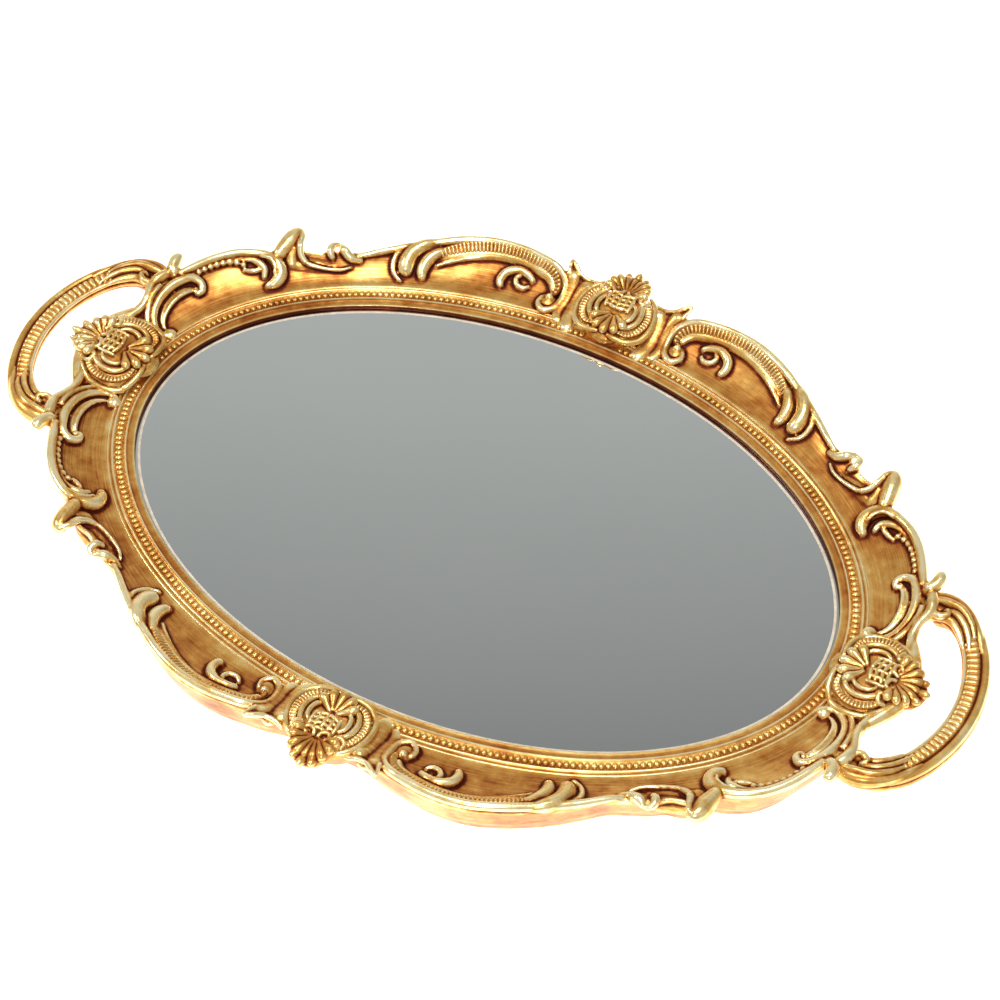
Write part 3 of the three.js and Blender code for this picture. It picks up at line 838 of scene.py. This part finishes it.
def bead_string():
    """Half-round beads in the channel, modelled once and copied round the oval."""
    bpy.ops.mesh.primitive_uv_sphere_add(segments=10, ring_count=7, radius=1, location=(0, 0, 0))
    bead = bpy.context.object
    with editing(bead):
        bpy.ops.mesh.bisect(plane_co=(0, 0, -0.45), plane_no=(0, 0, 1), use_fill=True, clear_inner=True)
    shape = corners_of(bead.data)
    faces = [tuple(face.vertices) for face in bead.data.polygons]
    bpy.data.objects.remove(bead)

    fine = np.linspace(0, 360, 7201)
    line = oval(fine)
    run = np.concatenate([[0], np.cumsum(np.linalg.norm(np.diff(line, axis=0), axis=1))])
    corners, all_faces, ridge = [], [], []
    for i in range(BEAD_COUNT):
        angle = np.interp((i + 0.5) * run[-1] / BEAD_COUNT, run, fine)
        centre = oval(np.array([angle]))[0]
        if min(abs(centre[0]), abs(centre[1])) < CARTOUCHE_COVER:
            continue
        turn = math.atan2(centre[1] / OVAL_B ** 2, centre[0] / OVAL_A ** 2)
        sized = shape * [share * BEAD_SIZE for share in BEAD_SHAPE]
        plan_x = sized[:, 0] * math.cos(turn) - sized[:, 1] * math.sin(turn)
        plan_y = sized[:, 0] * math.sin(turn) + sized[:, 1] * math.cos(turn)
        start = len(corners) * len(shape)
        corners.append(np.column_stack([centre[0] + plan_x, centre[1] + plan_y, sized[:, 2] - 0.30]))
        all_faces.extend(tuple(start + k for k in face) for face in faces)
        # Each bead darker at its foot for the patina and paler towards its top, which is partly worn gold and
        # partly a painted highlight.
        ridge.append(0.30 + 0.42 * np.clip((shape[:, 2] + 0.25) / 0.9, 0, 1))
    piece = new_piece("bead_string", np.concatenate(corners), all_faces)
    store(piece.data, "ridge", np.concatenate(ridge))
    store(piece.data, "height", np.full(len(piece.data.vertices), 0.6))
    smooth(piece, 70)
    gild([piece], GILT_ORNAMENT, "frame_moulding")


# ---- handles

def level(points):
    return np.zeros(len(points))


def both_sides(points):
    """A line and its mirror image across the tray's length, joined in the middle."""
    half = [tuple(p) for p in points]
    return half + [(x, -y, *rest) for x, y, *rest in half[-2::-1]]


HANDLE_LINE = [
    (139.5, 32.6), (144.0, 33.6), (149.5, 32.6), (155.0, 28.9), (159.6, 22.6), (163.0, 14.5), (164.8, 6.5),
    (165.2, 0.0),
]


def handle_track():
    """The handle's centre line, close together, with the sideways step that points outwards."""
    line = both_sides([(x, y, 0.0, 0.0) for x, y in HANDLE_LINE])
    dense, _ = along(line, 1.0)
    middle = len(dense) // 2
    outwards = 1.0 if beside(dense, 1.0)[middle, 0] > dense[middle, 0] else -1.0
    return dense, outwards


def track(dense, distance, height, size, skip):
    """A line beside the handle's own, with a height and a size, left short at both ends."""
    moved = beside(dense, distance)[skip:len(dense) - skip]
    return np.column_stack([moved[:, :2], np.full(len(moved), height), np.full(len(moved), size)])


def carve_handle():
    carving = Carving(level)
    dense, outwards = handle_track()
    carving.stroke(track(dense, 0, 2.6, 4.0, 0), "flat")
    carving.stroke(track(dense, outwards * 0.2, 1.2, 3.2, 0))
    carving.stroke(track(dense, outwards * 2.9, 3.7, 1.5, 9))
    carving.stroke(track(dense, outwards * 2.9, 1.6, 1.7, 4))
    carving.stroke(track(dense, outwards * -3.4, 4.1, 0.7, 12))
    carving.stroke(track(dense, outwards * -3.1, 2.4, 1.1, 6))

    # Leaves and curls at both roots.
    leaves = [
        [(138.6, 35.0, 3.4, 1.8), (143.0, 37.0, 4.0, 2.4), (148.5, 36.3, 4.4, 2.5), (153.6, 33.4, 4.5, 2.1),
         (158.2, 28.8, 4.5, 1.4), (161.8, 22.8, 4.4, 0.6)],
        [(140.0, 35.2, 5.0, 1.0), (144.6, 35.4, 5.7, 1.4), (149.6, 34.6, 6.0, 1.5), (154.4, 31.0, 5.8, 1.2),
         (157.6, 26.6, 5.4, 0.5)],
        [(144.8, 32.0, 5.2, 0.9), (149.0, 32.2, 5.9, 1.2), (153.2, 29.4, 5.8, 1.2), (156.2, 25.2, 5.3, 0.9),
         (157.8, 21.6, 4.8, 0.4)],
        [(140.6, 28.2, 3.4, 1.5), (144.2, 30.0, 4.4, 1.6), (148.6, 29.6, 4.9, 1.4), (152.4, 26.6, 4.8, 1.2),
         (155.4, 22.4, 4.6, 0.6)],
        [(140.4, 33.6, 4.6, 0.9), (141.6, 30.4, 5.2, 1.2), (144.6, 29.2, 5.8, 1.2), (146.8, 31.0, 6.1, 1.0),
         (145.6, 32.8, 6.0, 0.7)],
        [(140.4, 36.6, 2.4, 2.2), (139.6, 33.0, 1.8, 2.8), (140.6, 28.6, 2.0, 2.2)],
        [(141.5, 33.5, -1.6, 3.6), (146.0, 33.4, 0.6, 3.4), (151.5, 31.2, 1.8, 2.6)],
    ]
    for points in leaves:
        carving.stroke(points)
        carving.stroke([(x, -y, rise, size) for x, y, rise, size in points])
    return carving


HANDLE_VOXEL = 0.00034


def handles():
    loop = carve_handle().cast("handle_loop_right", HANDLE_VOXEL)
    relief(loop)
    smooth(loop)
    dense, outwards = handle_track()
    line = track(dense, outwards * -0.95, 4.7, 2.15, 14)[::-int(outwards)]
    flutes = fluted_band("handle_flutes_right", line, 2.05, 8, level)
    gild((loop, flutes), GILT_ORNAMENT, "handle_right")
    gild((turned(loop, "handle_loop_left"), turned(flutes, "handle_flutes_left")), GILT_ORNAMENT, "handle_left")


# ---- cartouches

def shield(points):
    """Height of a cartouche's domed face."""
    across, out = points[:, 0], points[:, 1]
    dome = np.clip(1 - (across / 15.0) ** 2 - ((out - 10.0) / 15.0) ** 2, 0, 1)
    return 0.8 + 0.10 * np.clip(out, -6, 22) + 4.4 * np.sqrt(dome)


def petal(start, degrees, reach, start_rise, end_rise, size):
    """A shell's petal as a stroke from its middle line, widest near its pointed tip."""
    turn = math.radians(degrees)
    points = []
    for share, width in ((0.14, 0.30), (0.45, 0.62), (0.74, 1.0), (0.90, 0.80), (1.0, 0.22)):
        rise = start_rise + (end_rise - start_rise) * share ** 1.6
        points.append((math.sin(turn) * reach * share, start + math.cos(turn) * reach * share, rise, size * width))
    return points


def carve_cartouche(spread):
    """A shield with beaded curls between a large shell outside and a small one over the beads.

    spread widens it: the cartouches at the handles are broader than those on the long sides."""
    carving = Carving(shield)

    def both(points, sides=(1, -1)):
        for side in sides:
            carving.stroke([(x * spread * side, y, rise, size) for x, y, rise, size in points])

    # The body, its wall behind, and the beds under the two shells.
    turn = np.linspace(0, 2 * np.pi, 40, endpoint=False)
    levels = [(-6.5, 0.78), (-3.0, 0.90), (0.0, 0.97), (1.6, 0.97), (3.0, 0.88), (4.4, 0.62), (5.0, 0.25)]
    rings = []
    for rise, share in levels:
        lean = 0.10 * (9.5 + 10.5 * np.sin(turn) * share)
        rings.append(np.column_stack([
            12.9 * spread * share * np.cos(turn), 9.5 + 10.8 * share * np.sin(turn),
            rise + np.where(rise > 0, lean, 0.0),
        ]))
    carving.rings(np.array(rings))
    carving.ball(0, 20.5, -2.6, 6.6 * spread, 3.2)
    carving.ball(0, 3.4, -2.6, 6.0 * spread, 3.0)

    # The border roll and the arcs inside each lobe.
    both([
        (1.4, -0.2, 0.6, 0.7), (4.8, -0.6, 0.8, 0.9), (8.8, 0.2, 0.8, 1.0), (11.9, 2.9, 0.8, 1.0),
        (13.3, 7.0, 0.8, 1.05), (13.2, 11.6, 0.8, 1.05), (11.9, 15.6, 0.8, 1.0), (9.8, 18.4, 0.8, 0.9),
        (7.8, 20.2, 0.8, 0.6),
    ])
    both([
        (3.8, 3.8, 0.7, 0.6), (6.6, 4.4, 0.9, 0.8), (8.5, 7.0, 0.9, 0.9), (8.9, 10.6, 0.9, 0.9),
        (7.8, 14.0, 0.9, 0.8), (5.8, 16.2, 0.8, 0.6),
    ])
    both([
        (4.4, 6.0, 0.5, 0.5), (5.8, 7.0, 0.8, 0.75), (6.6, 9.2, 0.8, 0.8), (6.3, 12.0, 0.8, 0.75),
        (4.8, 14.0, 0.7, 0.5),
    ])
    both([(8.4, 18.6, 0.7, 0.6), (8.6, 16.2, 1.1, 0.8), (6.6, 15.4, 1.2, 0.8), (5.6, 17.2, 1.2, 0.7)])

    # Basket work between the lobes, and the eyelets under the outer shell.
    for out, reach in ((9.6, 3.8), (11.5, 4.4), (13.4, 4.4), (15.2, 3.4)):
        both([(0, out, 1.1, 0.62), (reach * 0.6, out + 0.6, 1.1, 0.62), (reach, out + 1.2, 0.9, 0.45)])
    for x in (0.0, 2.1, 4.0):
        both([(x, 9.4, 0.9, 0.55), (x * 1.05, 12.9, 1.2, 0.6), (x * 1.0, 16.0, 0.9, 0.5)])
    both([
        (0.6, 18.4, 0.8, 0.6), (1.4, 16.4, 1.1, 0.7), (3.4, 16.0, 1.2, 0.7), (4.2, 17.4, 1.2, 0.7),
        (2.8, 18.6, 1.1, 0.6),
    ])

    # The shell that stands out past the rim, and the one over the beads: both rise towards their tips.
    for degrees, reach in ((0, 12.4), (19, 11.2), (38, 9.8), (58, 9.0), (80, 8.2)):
        both(petal(16.8, degrees, reach, -0.4, 3.0, 1.55), (1, -1) if degrees else (1,))
    for degrees, reach in ((180, 10.0), (156, 9.6), (131, 8.6)):
        both(petal(8.8, degrees, reach, 0.0, 1.8, 1.6), (1, -1) if degrees != 180 else (1,))
    return carving


LOBE_LINE = [
    (4.6, 1.7, 0.9, 0.6), (7.6, 2.2, 0.9, 1.0), (10.0, 4.8, 0.8, 1.2), (11.1, 8.2, 0.8, 1.25),
    (11.0, 11.8, 0.8, 1.25), (9.8, 15.0, 0.8, 1.1), (8.2, 17.0, 0.8, 0.7),
]


def lobe_flutes(stem, spread):
    """The fluted arcs between the border roll and the arcs of both lobes, as shapes of their own laid on the
    cartouche's face.
    """
    arcs = []
    for name, side in ((f"{stem}_1", 1), (f"{stem}_2", -1)):
        points = [(x * spread * side, y, rise, size) for x, y, rise, size in LOBE_LINE]
        arcs.append(fluted_band(name, points, 1.15, 0, shield))
    return arcs


CARTOUCHE_VOXEL = 0.00026


def cartouche_pair(names, spread, degrees, nodes):
    """Casts one cartouche, sets it on its side of the oval, and turns a copy round to the other side.

    It is drawn with its foot on the beaded line."""
    body = carve_cartouche(spread).cast(names[0], CARTOUCHE_VOXEL)
    relief(body)
    smooth(body)
    foot = OVAL_B if degrees == 90 else OVAL_A
    for piece in (body, *lobe_flutes(names[0] + "_flutes", spread)):
        piece.data.transform(Matrix.Translation((0, foot * UNIT, 0)))
        piece.data.transform(Matrix.Rotation(math.radians(degrees - 90), 4, "Z"))
        gild([piece], GILT_SHELL, nodes[0])
        gild([turned(piece, piece.name.replace(names[0], names[1]))], GILT_SHELL, nodes[1])


def cartouches():
    cartouche_pair(("shell_far", "shell_near"), 1.0, 90, ("cartouche_far", "cartouche_near"))
    cartouche_pair(("shell_right", "shell_left"), 1.15, 0, ("cartouche_right", "cartouche_left"))


# ---- mirror, board, felt, screws and pads


def oval_plate(name, node, edge):
    """A plate as large as its CAD node, drawn from a disc to the oval and bevelled round its edges."""
    low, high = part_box(node)
    middle = (low + high) / 2
    plate = circle(name, 256)
    with editing(plate):
        extrude(high.z - low.z)
    corners = corners_of(plate.data)
    angle = np.degrees(np.arctan2(corners[:, 1], corners[:, 0]))
    plan = oval(angle, np.full(len(angle), (high.x - bead_a) / UNIT)) * UNIT
    heights = np.where(corners[:, 2] > corners[:, 2].mean(), high.z, low.z)
    set_corners(plate.data, np.column_stack([plan + (middle.x, middle.y), heights]))
    with editing(plate):
        face_outwards()
    apply_modifier(plate, "BEVEL", width=edge, segments=3, limit_method="ANGLE", angle_limit=math.radians(50))
    smooth(plate, 12)
    return plate


def back_pieces():
    finish_piece(oval_plate("backing_panel", "backing_board", 0.0004), FIBREBOARD, "backing_board")
    felt = oval_plate("felt_sheet", "felt_lining", 0.0005)
    finish_piece(felt, FELT, "felt_lining")
    foam_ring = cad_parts["foam_ring"]
    foam_ring.data.materials.clear()
    foam_ring.data.materials.append(FOAM)
    finish_piece(oval_plate("mirror_plate", "mirror_glass", 0.0004), SILVER, "mirror_glass")
    # the pale band on the mirror is a painted reflection of the lip
    finish_piece(painted_reflection_band(), PAINTED_LIP_REFLECTION, "mirror_glass")


def painted_reflection_band():
    """A narrow pale band on the mirror's face, just inside the lip of the frame: a painted reflection of the lip.
    """
    stations = 320
    angle = np.linspace(0, 360, stations, endpoint=False)
    outline = [(-5.80, 0.0), (-5.88, 0.06), (-6.62, 0.06), (-6.70, 0.0)]
    corners = np.concatenate([
        np.column_stack([oval(angle, np.full(stations, out)), np.full(stations, GLASS_TOP + rise + 0.005)])
        for out, rise in outline
    ])
    faces = [
        (k * stations + i, k * stations + (i + 1) % stations,
         (k + 1) % 4 * stations + (i + 1) % stations, (k + 1) % 4 * stations + i)
        for k in range(4) for i in range(stations)
    ]
    piece = new_piece("mirror_border", corners, faces)
    smooth(piece, 30)
    return piece


def set_out(master, stem, nodes, spin, material):
    """Copies a piece to the place of each CAD node of a kind, turned by spin more each time."""
    for i, node in enumerate(nodes):
        low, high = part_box(node)
        place = (low + high) / 2
        copy = copy_of(master, f"{stem}_{i + 1}", Matrix.Rotation(spin * i, 4, "Z"))
        copy.data.transform(Matrix.Translation((place.x, place.y, low.z)))
        smooth(copy, 35)
        finish_piece(copy, material, node)
    bpy.data.objects.remove(master)


def nodes_called(stem):
    """The CAD nodes of a kind, with the radius and height that they share."""
    nodes = sorted(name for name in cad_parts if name.startswith(stem))
    low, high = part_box(nodes[0])
    return nodes, (high.x - low.x) / 2, high.z - low.z


# A pan-head screw from its head up to its point: shares of its radius and its height.
SCREW_FACE = 0.42
SCREW_PROFILE = [
    (0.78, 0.05), (0.93, 0.13), (1.0, 0.30), (1.0, 0.58), (0.5, 0.60), (0.5, 0.66), (0.44, 0.72),
    (0.5, 0.78), (0.44, 0.84), (0.5, 0.90), (0.44, 0.96), (0.3, 1.0),
]
HEAD_TOP = 0.6
HEAD_SHARE = 1.8 / 9.3 / 0.58
SLOT_DEPTH = 0.0009


def screw_heads():
    """Pan-head screws with a cross recess, modelled once and copied."""
    nodes, radius, height = nodes_called("board_screw_")
    screw = circle("pan_screw", 32, radius * SCREW_FACE)
    reach, level_now = SCREW_FACE, 0.0
    with editing(screw):
        for share, climb in SCREW_PROFILE:
            rise = (climb - level_now) * height * (HEAD_SHARE if climb <= HEAD_TOP else 1.0)
            extrude(rise, share / reach)
            reach, level_now = share, climb
        face_outwards()
    corners = corners_of(screw.data)
    corners[:, 2] *= height / corners[:, 2].max()
    set_corners(screw.data, corners)
    for turn in (0, 90):
        bpy.ops.mesh.primitive_cube_add(size=1, location=(0, 0, 0))
        blade = bpy.context.object
        blade.data.transform(Matrix.Diagonal((radius * 1.1, radius * 0.26, SLOT_DEPTH * 2, 1)))
        blade.data.transform(Matrix.Rotation(math.radians(turn), 4, "Z"))
        apply_modifier(screw, "BOOLEAN", operation="DIFFERENCE", object=blade, solver="EXACT")
        bpy.data.objects.remove(blade)
    set_out(screw, "pan_screw", nodes, 0.7, ZINC)


def bumpers():
    """Round pads with a rounded lower edge, modelled once and copied."""
    nodes, radius, height = nodes_called("foot_pad_")
    pad = circle("bumper", 48, radius * 0.8)
    with editing(pad):
        extrude(height * 0.35, 1.22)
        extrude(height * 0.65, 1.02)
        face_outwards()
    apply_modifier(pad, "BEVEL", width=0.0004, segments=3, limit_method="ANGLE", angle_limit=math.radians(25))
    set_out(pad, "bumper", nodes, 0.0, RUBBER)


# ---- floor and light

def pale_floor():
    bpy.ops.mesh.primitive_plane_add(size=8, location=(0, 0, -0.0002))
    floor = bpy.context.object
    floor.name = "floor"
    colours = {"Base_Color": (0.93, 0.93, 0.93, 1), "Emission_Color": (1, 1, 1, 1)}
    floor.data.materials.append(painted("pale_floor", Roughness=0.9, Emission_Strength=1.0, **colours).owner)


def soft_box(name, place, size, power):
    light = bpy.data.lights.new(name, "AREA")
    light.shape = "RECTANGLE"
    light.size = light.size_y = size
    light.energy = power
    lamp = bpy.data.objects.new(name, light)
    lamp.location = place
    lamp.rotation_euler = (-Vector(place)).to_track_quat("-Z", "Y").to_euler()
    scene.collection.objects.link(lamp)


def studio():
    """A grey room of soft light that changes from the far side to the near side, and three soft boxes."""
    scene.world = bpy.data.worlds.new("studio")
    room = Finish(scene.world, "Background")
    towards = {0: room.node("ShaderNodeTexCoord"), 1: (0.233, -0.4425, 0.0)}
    nearness = room.node("ShaderNodeVectorMath", {"operation": "DOT_PRODUCT"}, towards, output=1)
    greys = [
        (0.0, 0.75), (0.08, 0.65), (0.12, 0.25), (0.155, 0.50), (0.172, 0.47), (0.222, 0.27), (0.34, 0.20),
        (0.46, 0.30), (0.62, 0.55), (0.80, 0.45), (1.0, 0.30),
    ]
    room.feed("Color", room.ramp(nearness + 0.5, [(place, (grey, grey, grey)) for place, grey in greys]))
    soft_box("near_box", (0.5, -1.25, 1.45), 0.35, 9)
    soft_box("left_box", (-1.2, -0.3, 1.2), 0.35, 7)
    soft_box("top_box", (0.0, 0.1, 1.8), 0.8, 16)


frame_quarters()
laid_bands()
sight_moulding()
bead_string()
handles()
cartouches()
back_pieces()
screw_heads()
bumpers()
pale_floor()
studio()
